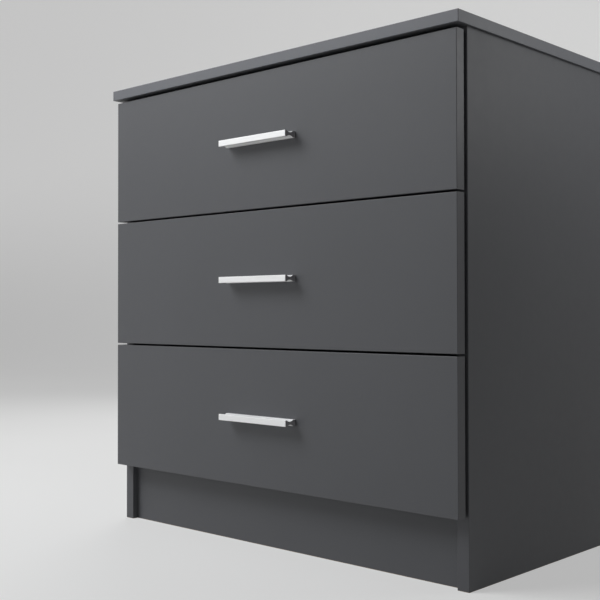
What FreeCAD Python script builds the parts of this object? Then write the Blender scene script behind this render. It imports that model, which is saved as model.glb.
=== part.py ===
import FreeCAD, Part
import math
import os
import re
import Sketcher
from FreeCAD import Placement, Rotation, Vector

# Bedside chest with three drawers, in faced chipboard, with bar handles and roller runners.
# Frame: millimetres, +X to the right of someone facing the drawers, +Y to the wall, +Z up.
# The origin lies on the floor, under the middle of the whole chest, handles included.

SIZES = (
    # carcass
    ("carcass_width", 700, "over the outer faces of the side panels"),
    ("side_height", 717, "floor to the underside of the top"),
    ("side_depth", 390, "front edge to rear edge of a side panel"),
    ("side_thickness", 18, "side panel board"),
    ("top_thickness", 16, "top panel board"),
    ("top_side_overhang", 4.5, "top past each side panel"),
    ("top_front_overhang", 5.5, "top past the drawer fronts"),
    ("bottom_thickness", 16, "bottom panel board"),
    ("plinth_height", 98, "floor to the underside of the bottom panel"),
    ("plinth_thickness", 16, "plinth board"),
    ("plinth_recess", 10, "plinth behind the front edges of the sides"),
    ("rail_height", 80, "rail under the top at the back"),
    ("rail_thickness", 16, "rear rail board"),
    ("back_thickness", 3, "hardboard back"),
    ("back_margin", 2, "hardboard in from the edges that it covers"),
    ("edge_radius", 0.8, "rounding of the edge banding"),
    # drawer fronts
    ("front_thickness", 16, "drawer front board"),
    ("front_gap", 5, "drawer fronts ahead of the carcass"),
    ("front_side_reveal", 2, "side panel showing past each end of a front"),
    ("front_drop", 4, "lowest front below the bottom panel's underside"),
    ("top_gap", 5, "between the highest front and the top"),
    ("drawer_gap", 3, "between one front and the next"),
    # handles
    ("handle_length", 140, "along the bar"),
    ("handle_height", 9, "of both flanges"),
    ("handle_drop", 0.7, "handle below the middle of its drawer front"),
    ("handle_projection", 21, "front flange's face ahead of the drawer front"),
    ("handle_front_flange", 3, "thickness of the front flange"),
    ("handle_rear_flange", 5.4, "thickness of the rear flange"),
    ("handle_scoop", 2.4, "depth of the finger scoop above and below"),
    ("handle_edge", 0.5, "rounding round the front flange's face"),
    ("handle_spacing", 128, "between the two handle screws"),
    # drawer boxes
    ("box_board", 12, "drawer side and back board"),
    ("box_lift", 30, "box above the front's lower edge"),
    ("box_top_drop", 24, "box below the front's upper edge"),
    ("box_rear_clearance", 45, "behind a closed box, to the carcass's rear edge"),
    ("box_edge_radius", 1.5, "rounding of a drawer box's upper edges"),
    ("box_bottom_thickness", 3, "hardboard drawer bottom"),
    ("groove_height", 12, "groove above the box's lower edge"),
    ("groove_depth", 6, "groove in the sides and the front"),
    ("groove_slack", 0.2, "groove wider than the hardboard"),
    ("groove_end_slack", 0.5, "hardboard short of the groove's floor"),
    # joints
    ("cam_radius", 7.5, "cam lock's bore"),
    ("cam_distance", 34, "cam's centre from the board's end, in the carcass"),
    ("box_cam_distance", 24, "cam's centre from the board's end, in a drawer"),
    ("cam_below_bolt", 3.8, "cam's bore past the bolt's centre line"),
    ("bolt_radius", 3, "cam bolt's shank and thread"),
    ("bolt_bore", 3.6, "channel that the bolt lies in"),
    ("bolt_depth", 11, "thread in the other board"),
    ("bolt_neck_radius", 1.8, "between the shank and the head"),
    ("bolt_neck_length", 4.2, "between the shank and the head"),
    ("bolt_head_radius", 2.7, "head that the cam grips"),
    ("bolt_head_length", 3.6, "head that the cam grips"),
    ("cam_slot", 1.5, "width and depth of the cam's driver slot"),
    ("cam_slot_length", 9, "the cam's driver slot"),
    ("dowel_radius", 4, "wooden dowel"),
    ("dowel_length", 30, "wooden dowel"),
    ("dowel_depth", 11.5, "dowel in a board's face; the rest is in the edge"),
    ("dowel_chamfer", 1, "each end of a dowel"),
    ("joint_inset", 50, "outer joints from the front and rear edges"),
    ("pin_offset", 16, "bolt above and dowel below a narrow board's middle"),
    ("box_joint_inset", 30, "drawer joints from the box's upper edge"),
    ("box_joint_lift", 45, "drawer joints from the box's lower edge"),
    ("fit_clearance", 0.1, "between a fitting and its bore"),
    ("blind_slack", 1, "blind hole past the end of its dowel or screw"),
    ("nail_length", 20, "back panel nail"),
    ("nail_radius", 0.8, "back panel nail"),
    ("nail_head_radius", 2.2, "back panel nail"),
    ("nail_head", 0.5, "thickness of the nail's head"),
    ("nail_spacing", 160, "from one nail to the next, at most"),
    # roller runners
    ("runner_space", 12.5, "between the box and the side panel"),
    ("runner_setback", 2, "runner behind the side panel's front edge"),
    ("runner_tail", 3, "cabinet runner past the closed box"),
    ("gauge", 1.2, "steel strip"),
    ("cabinet_flange", 10.6, "cabinet runner's reach from the side panel"),
    ("drawer_flange", 9.5, "drawer runner's reach from the box"),
    ("bend_radius", 0.6, "inside of a bend"),
    ("roller_radius", 9, "nylon roller"),
    ("roller_width", 6.5, "nylon roller"),
    ("roller_chamfer", 0.6, "each side of the roller's tread"),
    ("roller_rim", 1.7, "roller's wall under the tread"),
    ("roller_hub_radius", 5, "boss of the roller round its axle"),
    ("roller_recess", 1, "hollow between hub and rim, in both faces"),
    ("roller_inset", 15, "roller's axle from the end of its runner"),
    ("roller_stagger", 2.7, "front roller's axle above the rear one's"),
    ("roller_side_gap", 0.3, "roller to the strip that carries it"),
    ("running_gap", 0.3, "roller to its track"),
    ("channel_play", 1, "drawer flange to the channel's upper flange"),
    ("axle_radius", 2.5, "riveted axle"),
    ("axle_clearance", 0.06, "axle in the roller, all round"),
    ("rivet_radius", 4.2, "head of the axle"),
    ("rivet_head", 0.8, "thickness of the axle's head"),
    ("box_seat", 3, "box's lower edge above the channel's underside"),
    ("entry_length", 40, "opening in the channel's upper flange"),
    ("slot_radius", 2.2, "half the width of an adjusting slot in a runner"),
    ("slot_length", 9, "between the centres of a slot's round ends"),
    ("slot_lag", 24, "middle of a slot behind its screw"),
    ("runner_screw_inset", 35, "first screw from the runner's front end"),
    ("runner_screw_tail", 45, "last screw from the runner's rear end"),
    ("runner_screw_radius", 2.5, "screw into the side panel"),
    ("runner_screw_depth", 11, "screw in the side panel"),
    ("runner_screw_head_radius", 4, "screw into the side panel"),
    ("runner_screw_head", 1.5, "height of its head"),
    ("box_screw_radius", 1.75, "screw in the drawer box"),
    ("box_screw_head_radius", 3.1, "screw in the drawer box"),
    ("box_screw_head", 1.2, "height of its head"),
    ("box_screw_height", 6, "runner's screws above the box's lower edge"),
    ("bottom_screw_depth", 12, "screw through the drawer bottom, in the drawer's back"),
    ("bottom_screw_across", 200, "outer screws of the drawer bottom from the middle"),
    ("handle_screw_radius", 2, "machine screw of the handle"),
    ("handle_screw_head_radius", 4, "machine screw of the handle"),
    ("handle_screw_head", 2.4, "height of its head"),
    ("handle_screw_reach", 7, "screw in the handle"),
)

WORKED = (
    # across
    ("carcass_half", "carcass_width / 2"),
    ("inner_half", "carcass_half - side_thickness"),
    ("top_half", "carcass_half + top_side_overhang"),
    ("side_mid", "carcass_half - side_thickness / 2"),
    ("back_half", "carcass_half - back_margin"),
    ("front_half", "carcass_half - front_side_reveal"),
    ("box_half", "inner_half - runner_space"),
    ("box_inner_half", "box_half - box_board"),
    ("box_side_mid", "box_half - box_board / 2"),
    ("box_bottom_half", "box_inner_half + groove_depth - groove_end_slack"),
    ("carcass_cam_across", "inner_half - cam_distance"),
    # front to back
    ("body_depth", "handle_projection + front_thickness + front_gap + side_depth"),
    ("overall_depth", "body_depth + back_thickness + nail_head"),
    ("front_face", "handle_projection - overall_depth / 2"),
    ("front_back", "front_face + front_thickness"),
    ("carcass_front", "front_back + front_gap"),
    ("carcass_rear", "carcass_front + side_depth"),
    ("top_front", "front_face - top_front_overhang"),
    ("top_to_carcass", "top_front_overhang + front_thickness + front_gap"),
    ("top_depth", "top_to_carcass + side_depth + back_thickness"),
    ("box_length", "side_depth + front_gap - box_rear_clearance"),
    ("box_back_mid", "box_length - box_board / 2"),
    ("rear_joint", "side_depth - joint_inset"),
    ("front_dowel", "2 * joint_inset"),
    ("rear_dowel", "side_depth - 2 * joint_inset"),
    ("mid_joint", "side_depth / 2"),
    ("rail_front", "side_depth - rail_thickness"),
    ("rail_mid", "side_depth - rail_thickness / 2"),
    ("plinth_mid", "plinth_recess + plinth_thickness / 2"),
    # heights
    ("front_low", "plinth_height - front_drop"),
    ("fronts_height", "side_height - top_gap - front_low"),
    ("front_height", "(fronts_height - 2 * drawer_gap) / 3"),
    ("pitch", "front_height + drawer_gap"),
    ("handle_middle", "front_height / 2 - handle_drop"),
    ("box_height", "front_height - box_lift - box_top_drop"),
    ("box_low", "front_low + box_lift"),
    ("groove_width", "box_bottom_thickness + groove_slack"),
    ("groove_top", "groove_height + groove_width"),
    ("box_back_height", "box_height - groove_top"),
    ("box_joint_high", "box_height - box_joint_inset"),
    ("bottom_mid", "plinth_height + bottom_thickness / 2"),
    ("plinth_bolt_height", "plinth_height / 2 + pin_offset"),
    ("plinth_dowel_height", "plinth_height / 2 - pin_offset"),
    ("rail_bolt_height", "side_height - rail_height / 2 + pin_offset"),
    ("rail_dowel_height", "side_height - rail_height / 2 - pin_offset"),
    ("top_cam_height", "side_height - cam_distance"),
    ("back_low", "plinth_height + back_margin"),
    ("back_high", "side_height - back_margin"),
    # joints
    ("side_cam_depth", "side_thickness / 2 + cam_below_bolt"),
    ("bottom_cam_depth", "bottom_thickness / 2 + cam_below_bolt"),
    ("rail_cam_depth", "rail_thickness / 2 + cam_below_bolt"),
    ("plinth_cam_depth", "plinth_thickness / 2 + cam_below_bolt"),
    ("box_cam_depth", "box_board / 2 + cam_below_bolt"),
    ("bolt_hole", "bolt_radius + fit_clearance"),
    ("dowel_bore", "dowel_radius + fit_clearance"),
    ("dowel_end_depth", "dowel_length - dowel_depth + blind_slack"),
    ("handle_scoop_length", "handle_projection - handle_front_flange - handle_rear_flange"),
    ("handle_scoop_radius", "handle_scoop_length ^ 2 / (8 * handle_scoop) + handle_scoop / 2"),
    # runners
    ("rear_roller_height", "gauge + running_gap + roller_radius"),
    ("front_roller_height", "rear_roller_height + roller_stagger"),
    ("flange_height", "front_roller_height + roller_radius + running_gap"),
    ("channel_height", "flange_height + gauge + channel_play + gauge"),
    ("channel_low", "box_low - box_seat"),
    ("runner_screw_height", "channel_height / 2"),
    ("cabinet_runner_length", "box_length - front_gap - runner_setback + runner_tail"),
    ("runner_screw_last", "cabinet_runner_length - runner_screw_tail"),
    ("runner_screw_middle", "(runner_screw_inset + runner_screw_last) / 2"),
    ("box_screw_last", "box_length - runner_screw_tail"),
    ("box_screw_hole", "box_screw_radius + fit_clearance"),
    ("box_screw_middle", "(runner_screw_inset + box_screw_last) / 2"),
    ("drawer_flange_height", "flange_height - box_seat"),
    ("drawer_roller_height", "rear_roller_height - box_seat"),
    ("drawer_roller_place", "box_length - roller_inset"),
    ("roller_near", "gauge + roller_side_gap"),
    ("roller_far", "roller_near + roller_width"),
    ("axle_reach", "roller_far + roller_side_gap"),
    ("roller_bore", "axle_radius + axle_clearance"),
    ("roller_hollow_radius", "roller_radius - roller_rim"),
)

DRAWERS = ("bottom", "middle", "top")
SIDES = (("left", -1), ("right", 1))
# Where two lengths, or two volumes, count as the same.
CLOSE = 0.01
# Where a sketch's corners and circles are drawn before its constraints place them.
DRAWN = 10

doc = FreeCAD.newDocument("three_drawer_chest")
SHEET_OF = {}


def add_sheet(name, rows):
    """A spreadsheet with one named cell a row: its meaning or nothing, and its value or formula."""
    sheet = doc.addObject("Spreadsheet::Sheet", name)
    for number, row in enumerate(rows, start=1):
        SHEET_OF[row[0]] = name
    for number, row in enumerate(rows, start=1):
        sheet.set("A%d" % number, row[2] if len(row) > 2 else row[0])
        content = "=" + formula(row[1]) if isinstance(row[1], str) else str(row[1])
        sheet.set("B%d" % number, content)
        sheet.setAlias("B%d" % number, row[0])
    doc.recompute()
    return sheet


def formula(text):
    """An expression typed with short cell names, with each cell's sheet put before its name."""
    return re.sub(r"[a-z_]+", lambda word: cell(word.group()), text)


def cell(name):
    return "%s.%s" % (SHEET_OF[name], name) if name in SHEET_OF else name


sheets = {"Sizes": add_sheet("Sizes", SIZES)}
sheets["Worked"] = add_sheet("Worked", WORKED)
nodes = []


def read(name):
    """The number in a named cell."""
    return float(getattr(sheets[SHEET_OF[name]], name))


def bind(thing, path, text):
    thing.setExpression(path, formula(text))


def set_place(thing, across, along, up):
    bind(thing, "Placement.Base.x", across)
    bind(thing, "Placement.Base.y", along)
    bind(thing, "Placement.Base.z", up)


# ---- bodies, sketches and features -------------------------------------------------------------


def new_body(label, across, along, up):
    body = doc.addObject("PartDesign::Body", label)
    body.Label = label
    set_place(body, across, along, up)
    nodes.append(body)
    return body


def origin_part(body, role):
    return next(item for item in body.Origin.OriginFeatures if item.Role == role)


def new_sketch(body, name, plane, offset=None):
    """A sketch on one of the body's own planes, or at an offset from it along its normal."""
    sketch = body.newObject("Sketcher::SketchObject", name)
    sketch.AttachmentSupport = [(origin_part(body, plane + "_Plane"), "")]
    sketch.MapMode = "FlatFace"
    if offset:
        bind(sketch, "AttachmentOffset.Base.z", offset)
    return sketch


def hold(sketch, element, vertex, across, up):
    """Hold one vertex of a sketch at two expressions from the sketch's origin."""
    drawn = sketch.getPoint(element, vertex)
    for kind, text, value in (("DistanceX", across, drawn.x), ("DistanceY", up, drawn.y)):
        number = sketch.addConstraint(Sketcher.Constraint(kind, -1, 1, element, vertex, value))
        bind(sketch, "Constraints[%d]" % number, text)


def outline(sketch, corners):
    """A closed outline of straight lines through corners given as pairs of expressions."""
    first = sketch.GeometryCount
    count = len(corners)
    turn = 2 * math.pi / count
    start = [Vector(math.cos(turn * i), math.sin(turn * i), 0) * DRAWN for i in range(count)]
    for i in range(count):
        sketch.addGeometry(Part.LineSegment(start[i], start[(i + 1) % count]))
    for i in range(count):
        following = first + (i + 1) % count
        sketch.addConstraint(Sketcher.Constraint("Coincident", first + i, 2, following, 1))
    for i, (across, up) in enumerate(corners):
        hold(sketch, first + i, 1, across, up)


def rectangle(sketch, left, low, right, high):
    outline(sketch, ((left, low), (right, low), (right, high), (left, high)))


def circles(sketch, radius, centres):
    for across, up in centres:
        element = sketch.addGeometry(Part.Circle(Vector(DRAWN, DRAWN, 0), Vector(0, 0, 1), DRAWN / 2))
        number = sketch.addConstraint(Sketcher.Constraint("Radius", element, DRAWN / 2))
        bind(sketch, "Constraints[%d]" % number, radius)
        hold(sketch, element, 3, across, up)


def slots(sketch, radius, length, centres):
    """Level slots, given by the radius of their round ends and the distance between the ends' centres."""
    for across, up in centres:
        first = sketch.GeometryCount
        for sign in (1, -1):
            start = Vector(-DRAWN, -DRAWN, 0) * sign
            sketch.addGeometry(Part.LineSegment(start, Vector(DRAWN, -DRAWN, 0) * sign))
            circle = Part.Circle(Vector(DRAWN, 0, 0) * sign, Vector(0, 0, 1), DRAWN)
            start_angle = -sign * math.pi / 2
            sketch.addGeometry(Part.ArcOfCircle(circle, start_angle, start_angle + math.pi))
        for i in range(4):
            following = first + (i + 1) % 4
            sketch.addConstraint(Sketcher.Constraint("Tangent", first + i, 2, following, 1))
        for sign, end in ((1, first + 1), (-1, first + 3)):
            number = sketch.addConstraint(Sketcher.Constraint("Radius", end, DRAWN))
            bind(sketch, "Constraints[%d]" % number, radius)
            hold(sketch, end, 3, "%s + %d * %s / 2" % (across, sign, length), up)


def extrude(body, kind, name, sketch, length, against=False):
    """A pad along the sketch's normal or a pocket down it, or the other way where it says against."""
    feature = body.newObject("PartDesign::" + kind, name)
    feature.Profile = sketch
    feature.Reversed = against
    bind(feature, "Length", length)
    sketch.Visibility = False
    return feature


def drill(body, name, plane, radius, centres, depth, against=False, offset=None):
    sketch = new_sketch(body, name + "_centres", plane, offset)
    circles(sketch, radius, centres)
    return extrude(body, "Pocket", name, sketch, depth, against)


def mirror_across(body, name, features):
    """Repeat features on the other side of the body's own YZ plane."""
    feature = body.newObject("PartDesign::Mirrored", name)
    feature.Originals = features
    feature.MirrorPlane = (origin_part(body, "YZ_Plane"), [""])
    body.Tip = feature
    return feature


def round_edges(body, name, radius, wanted):
    """Fillet the edges of the body's last feature whose middle and direction are wanted."""
    doc.recompute()
    base = body.Tip
    chosen = []
    for number, edge in enumerate(base.Shape.Edges, start=1):
        ends = edge.Vertexes
        if len(ends) == 2 and edge.Curve.TypeId == "Part::GeomLine":
            run = ends[1].Point - ends[0].Point
            if wanted((ends[0].Point + ends[1].Point) / 2, run.normalize()):
                chosen.append("Edge%d" % number)
    feature = body.newObject("PartDesign::Fillet", name)
    feature.Base = (base, chosen)
    bind(feature, "Radius", radius)
    return feature


def near(value, target):
    return abs(value - target) < CLOSE


# ---- carcass boards ----------------------------------------------------------------------------


def top_panel():
    body = new_body("top_panel", "0", "top_front", "side_height")
    sketch = new_sketch(body, "top_outline", "XY")
    rectangle(sketch, "-top_half", "0", "top_half", "top_depth")
    extrude(body, "Pad", "top_board", sketch, "top_thickness")
    half = read("top_half")

    def banded(middle, run):
        return near(middle.y, 0) or near(abs(middle.x), half)

    round_edges(body, "top_banding", "edge_radius", banded)
    joints = [("side_mid", "top_to_carcass + " + place) for place in ("joint_inset", "rear_joint")]
    bolts = drill(body, "top_bolt_holes", "XY", "bolt_hole", joints, "bolt_depth", True)
    pins = [("side_mid", "top_to_carcass + " + place) for place in TOP_DOWELS]
    dowels = drill(body, "top_dowel_holes", "XY", "dowel_bore", pins, "dowel_depth", True)
    mirror_across(body, "top_holes_mirrored", [bolts, dowels])


# Dowels of the top, from the carcass's front edge.
TOP_DOWELS = ("front_dowel", "rear_dowel")
# Bolts and dowels that run across into the side panels: distance from the front edge, height.
SIDE_BOLTS = (
    ("joint_inset", "bottom_mid"),
    ("rear_joint", "bottom_mid"),
    ("plinth_mid", "plinth_bolt_height"),
    ("rail_mid", "rail_bolt_height"),
)
SIDE_DOWELS = (
    ("mid_joint", "bottom_mid"),
    ("plinth_mid", "plinth_dowel_height"),
    ("rail_mid", "rail_dowel_height"),
)


def side_panel(side, sign):
    """A side panel, from its inner face outwards: local X is 0 on the inner face."""
    body = new_body(side + "_side_panel", "%d * inner_half" % sign, "carcass_front", "0")
    inward = sign < 0
    sketch = new_sketch(body, side + "_side_outline", "YZ")
    rectangle(sketch, "0", "0", "side_depth", "side_height")
    extrude(body, "Pad", side + "_side_board", sketch, "side_thickness", inward)

    def banded(middle, run):
        return near(middle.y, 0) and near(abs(run.z), 1)

    round_edges(body, side + "_side_banding", "edge_radius", banded)
    cams = [("joint_inset", "top_cam_height"), ("rear_joint", "top_cam_height")]
    drill(body, side + "_side_cam_bores", "YZ", "cam_radius", cams, "side_cam_depth", not inward)
    drill(body, side + "_side_bolt_holes", "YZ", "bolt_hole", SIDE_BOLTS, "bolt_depth", not inward)
    drill(body, side + "_side_dowel_holes", "YZ", "dowel_bore", SIDE_DOWELS, "dowel_depth", not inward)
    middle = "%d * side_thickness / 2" % sign
    channels = [(middle, "joint_inset"), (middle, "rear_joint")]
    drill(body, side + "_side_bolt_channels", "XY", "bolt_bore", channels, "cam_distance",
          offset="side_height")
    pins = [(middle, place) for place in TOP_DOWELS]
    drill(body, side + "_side_top_dowels", "XY", "dowel_bore", pins, "dowel_end_depth",
          offset="side_height")
    screw_up = "channel_low + runner_screw_height"
    screws = [("runner_setback + " + place, screw_up) for place in RUNNER_SCREWS]
    row = drill(body, side + "_side_screw_row", "YZ", "runner_screw_radius + fit_clearance / 2", screws,
                "runner_screw_depth", not inward)
    rows = body.newObject("PartDesign::LinearPattern", side + "_side_screw_rows")
    rows.Originals = [row]
    rows.Direction = (origin_part(body, "Z_Axis"), [""])
    bind(rows, "Length", "%d * pitch" % (len(DRAWERS) - 1))
    rows.Occurrences = len(DRAWERS)
    body.Tip = rows


# Screws of a cabinet runner, from its front end.
RUNNER_SCREWS = ("runner_screw_inset", "runner_screw_middle", "runner_screw_last")


def end_holes(body, name, bolts, dowels):
    """Bolt channels and dowel holes in the right end of a board that lies between the side panels."""
    channels = drill(body, name + "_bolt_channels", "YZ", "bolt_bore", bolts, "cam_distance",
                     offset="inner_half")
    pins = drill(body, name + "_dowel_holes", "YZ", "dowel_bore", dowels, "dowel_end_depth",
                 offset="inner_half")
    return [channels, pins]


def bottom_panel():
    body = new_body("bottom_panel", "0", "carcass_front", "plinth_height")
    sketch = new_sketch(body, "bottom_outline", "XY")
    rectangle(sketch, "-inner_half", "0", "inner_half", "side_depth")
    extrude(body, "Pad", "bottom_board", sketch, "bottom_thickness")

    def banded(middle, run):
        return near(middle.y, 0) and near(abs(run.x), 1)

    round_edges(body, "bottom_banding", "edge_radius", banded)
    places = [("carcass_cam_across", "joint_inset"), ("carcass_cam_across", "rear_joint")]
    cams = drill(body, "bottom_cam_bores", "XY", "cam_radius", places, "bottom_cam_depth", True)
    middle = "bottom_thickness / 2"
    bolts = [("joint_inset", middle), ("rear_joint", middle)]
    holes = end_holes(body, "bottom", bolts, [("mid_joint", middle)])
    mirror_across(body, "bottom_holes_mirrored", [cams] + holes)


def upright_board(name, kind, along, up, cams_behind):
    """A plinth or rail on edge between the side panels, with cams on its front or rear face."""
    height = kind + "_height"
    thickness = kind + "_thickness"
    body = new_body(name, "0", along, up)
    sketch = new_sketch(body, name + "_outline", "XZ")
    rectangle(sketch, "-inner_half", "0", "inner_half", height)
    extrude(body, "Pad", name + "_board", sketch, thickness, True)
    bolt_up = height + " / 2 + pin_offset"
    dowel_up = height + " / 2 - pin_offset"
    cam_face = "-" + thickness if cams_behind else None
    cams = drill(body, name + "_cam_bores", "XZ", "cam_radius", [("carcass_cam_across", bolt_up)],
                 kind + "_cam_depth", cams_behind, cam_face)
    middle = thickness + " / 2"
    holes = end_holes(body, name, [(middle, bolt_up)], [(middle, dowel_up)])
    mirror_across(body, name + "_holes_mirrored", [cams] + holes)


def back_panel():
    body = new_body("back_panel", "0", "carcass_rear", "back_low")
    sketch = new_sketch(body, "back_outline", "XZ")
    rectangle(sketch, "-back_half", "0", "back_half", "back_high - back_low")
    extrude(body, "Pad", "back_sheet", sketch, "back_thickness", True)


# ---- drawers -----------------------------------------------------------------------------------


def lifted(level, text):
    """A height of the lowest drawer, moved up to a drawer's own level."""
    return "%s + %d * pitch" % (text, level)


# Joints at the front and the back of a drawer box, above its lower edge.
BOX_JOINTS = ("box_joint_lift", "box_joint_high")


def drawer_front(name, level):
    """A drawer front: local Y is 0 on its rear face, Z is 0 at its lower edge."""
    body = new_body(name + "_front", "0", "front_back", lifted(level, "front_low"))
    sketch = new_sketch(body, name + "_front_outline", "XZ")
    rectangle(sketch, "-front_half", "0", "front_half", "front_height")
    extrude(body, "Pad", name + "_front_board", sketch, "front_thickness")
    face = -read("front_thickness")

    def banded(middle, run):
        return near(middle.y, face)

    round_edges(body, name + "_front_banding", "edge_radius", banded)
    bolts = [("box_side_mid", "box_lift + " + height) for height in BOX_JOINTS]
    holes = drill(body, name + "_front_bolt_holes", "XZ", "bolt_hole", bolts, "bolt_depth", True)
    places = [("handle_spacing / 2", "handle_middle")]
    screws = drill(body, name + "_front_screw_holes", "XZ", "handle_screw_radius + 2 * fit_clearance",
                   places, "2 * front_thickness", True)
    mirror_across(body, name + "_front_holes_mirrored", [holes, screws])
    groove = new_sketch(body, name + "_front_groove_outline", "XZ")
    rectangle(groove, "-box_inner_half - groove_depth", "box_lift + groove_height",
              "box_inner_half + groove_depth", "box_lift + groove_top")
    extrude(body, "Pocket", name + "_front_groove", groove, "groove_depth", True)


def handle(name, level):
    """A bar handle: one extrusion with a finger scoop above and below, from its rear face forwards."""
    up = lifted(level, "front_low + handle_middle")
    body = new_body(name + "_handle", "0", "front_face", up)
    sketch = new_sketch(body, name + "_handle_section", "YZ")
    scoop_section(sketch)
    pad = extrude(body, "Pad", name + "_handle_bar", sketch, "handle_length")
    pad.Midplane = True
    face = -read("handle_projection")

    def front_face_edge(middle, run):
        return near(middle.y, face)

    round_edges(body, name + "_handle_edges", "handle_edge", front_face_edge)
    screw = [("handle_spacing / 2", "0")]
    holes = drill(body, name + "_handle_thread", "XZ", "handle_screw_radius + fit_clearance / 2", screw,
                  "handle_screw_reach + blind_slack", True)
    mirror_across(body, name + "_handle_threads", [holes])


def scoop_section(sketch):
    """The handle's section: two flanges with an arc between them above and below."""
    half = read("handle_height") / 2
    radius = read("handle_scoop_radius")
    length = read("handle_scoop_length")
    rear = -read("handle_rear_flange")
    face = -read("handle_projection")
    spread_angle = math.asin(length / 2 / radius)
    for sign in (-1, 1):
        centre = Vector(rear - length / 2, sign * (half - read("handle_scoop") + radius), 0)
        middle_angle = -sign * math.pi / 2
        circle = Part.Circle(centre, Vector(0, 0, 1), radius)
        scoop = Part.ArcOfCircle(circle, middle_angle - spread_angle, middle_angle + spread_angle)
        corners = [Vector(0, 0, 0), Vector(0, sign * half, 0), Vector(rear, sign * half, 0)]
        corners += [Vector(rear - length, sign * half, 0), Vector(face, sign * half, 0), Vector(face, 0, 0)]
        runs = [Part.LineSegment(corners[0], corners[1]), Part.LineSegment(corners[1], corners[2]), scoop,
                Part.LineSegment(corners[3], corners[4]), Part.LineSegment(corners[4], corners[5])]
        first = sketch.GeometryCount
        for run in runs:
            sketch.addGeometry(run)
        high = "%d * handle_height / 2" % sign
        hold(sketch, first, 1, "0", "0")
        hold(sketch, first + 1, 1, "0", high)
        hold(sketch, first + 1, 2, "-handle_rear_flange", high)
        hold(sketch, first + 3, 1, "-handle_projection + handle_front_flange", high)
        hold(sketch, first + 3, 2, "-handle_projection", high)
        hold(sketch, first + 4, 2, "-handle_projection", "0")
        # An arc runs anticlockwise, so the lower one starts at the rear and the upper one at the front.
        rear_end, front_end = (1, 2) if sign < 0 else (2, 1)
        meetings = ((0, 2, 1, 1), (1, 2, 2, rear_end), (2, front_end, 3, 1), (3, 2, 4, 1))
        for one, end, other, start in meetings:
            joined = Sketcher.Constraint("Coincident", first + one, end, first + other, start)
            sketch.addConstraint(joined)
        number = sketch.addConstraint(Sketcher.Constraint("Radius", first + 2, radius))
        bind(sketch, "Constraints[%d]" % number, "handle_scoop_radius")


def box_side(name, level, side, sign):
    """A drawer side: local X is 0 on its outer face, Y is 0 at its front end."""
    label = "%s_side_%s" % (name, side)
    body = new_body(label, "%d * box_half" % sign, "front_back", lifted(level, "box_low"))
    outward = sign > 0
    sketch = new_sketch(body, label + "_outline", "YZ")
    rectangle(sketch, "0", "0", "box_length", "box_height")
    extrude(body, "Pad", label + "_board", sketch, "box_board", outward)
    top = read("box_height")

    def upper(middle, run):
        return near(middle.z, top) and near(abs(run.y), 1)

    round_edges(body, label + "_upper_edges", "box_edge_radius", upper)
    groove = new_sketch(body, label + "_groove_outline", "YZ", "%d * box_board" % -sign)
    rectangle(groove, "-gauge", "groove_height", "box_length + gauge", "groove_top")
    extrude(body, "Pocket", label + "_groove", groove, "groove_depth", outward)
    cams = [("box_cam_distance", height) for height in BOX_JOINTS]
    drill(body, label + "_cam_bores", "YZ", "cam_radius", cams, "box_cam_depth", not outward)
    middle = "%d * box_board / 2" % -sign
    channels = [(middle, height) for height in BOX_JOINTS]
    drill(body, label + "_bolt_channels", "XZ", "bolt_bore", channels, "box_cam_distance")
    screws = [("box_back_mid", height) for height in BOX_JOINTS]
    drill(body, label + "_back_screw_holes", "YZ", "box_screw_hole", screws, "2 * box_board", not outward)
    runner = [(place, "box_screw_height") for place in BOX_SCREWS]
    drill(body, label + "_runner_screw_holes", "YZ", "box_screw_hole", runner,
          "box_board - box_screw_radius", not outward)


# Screws of a drawer runner, from its front end.
BOX_SCREWS = ("runner_screw_inset", "box_screw_middle", "box_screw_last")


def box_back(name, level):
    up = lifted(level, "box_low + groove_top")
    body = new_body(name + "_back", "0", "front_back + box_length - box_board", up)
    sketch = new_sketch(body, name + "_back_outline", "XZ")
    rectangle(sketch, "-box_inner_half", "0", "box_inner_half", "box_back_height")
    extrude(body, "Pad", name + "_back_board", sketch, "box_board", True)
    top = read("box_back_height")

    def upper(middle, run):
        return near(middle.z, top) and near(abs(run.x), 1)

    round_edges(body, name + "_back_upper_edges", "box_edge_radius", upper)
    pilots = [(across, "box_board / 2") for across in BOTTOM_SCREWS]
    drill(body, name + "_back_bottom_holes", "XY", "box_screw_hole", pilots, "bottom_screw_depth", True)
    screws = [("box_board / 2", height + " - groove_top") for height in BOX_JOINTS]
    holes = drill(body, name + "_back_screw_holes", "YZ", "box_screw_hole", screws, "2 * box_board",
                  offset="box_inner_half")
    mirror_across(body, name + "_back_holes_mirrored", [holes])


# Screws up through a drawer bottom into the drawer's back, from the middle.
BOTTOM_SCREWS = ("-bottom_screw_across", "0", "bottom_screw_across")


def box_bottom(name, level):
    """The hardboard that slides into the grooves from behind, under the drawer's back."""
    along = "front_back - groove_depth + groove_end_slack"
    up = lifted(level, "box_low + groove_height + groove_slack / 2")
    body = new_body(name + "_bottom", "0", along, up)
    sketch = new_sketch(body, name + "_bottom_outline", "XY")
    length = "box_length + groove_depth - groove_end_slack"
    rectangle(sketch, "-box_bottom_half", "0", "box_bottom_half", length)
    extrude(body, "Pad", name + "_bottom_sheet", sketch, "box_bottom_thickness")
    screws = [(across, length + " - box_board / 2") for across in BOTTOM_SCREWS]
    drill(body, name + "_bottom_screw_holes", "XY", "box_screw_hole", screws, "2 * box_bottom_thickness",
          True)


# ---- roller runners ----------------------------------------------------------------------------


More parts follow.
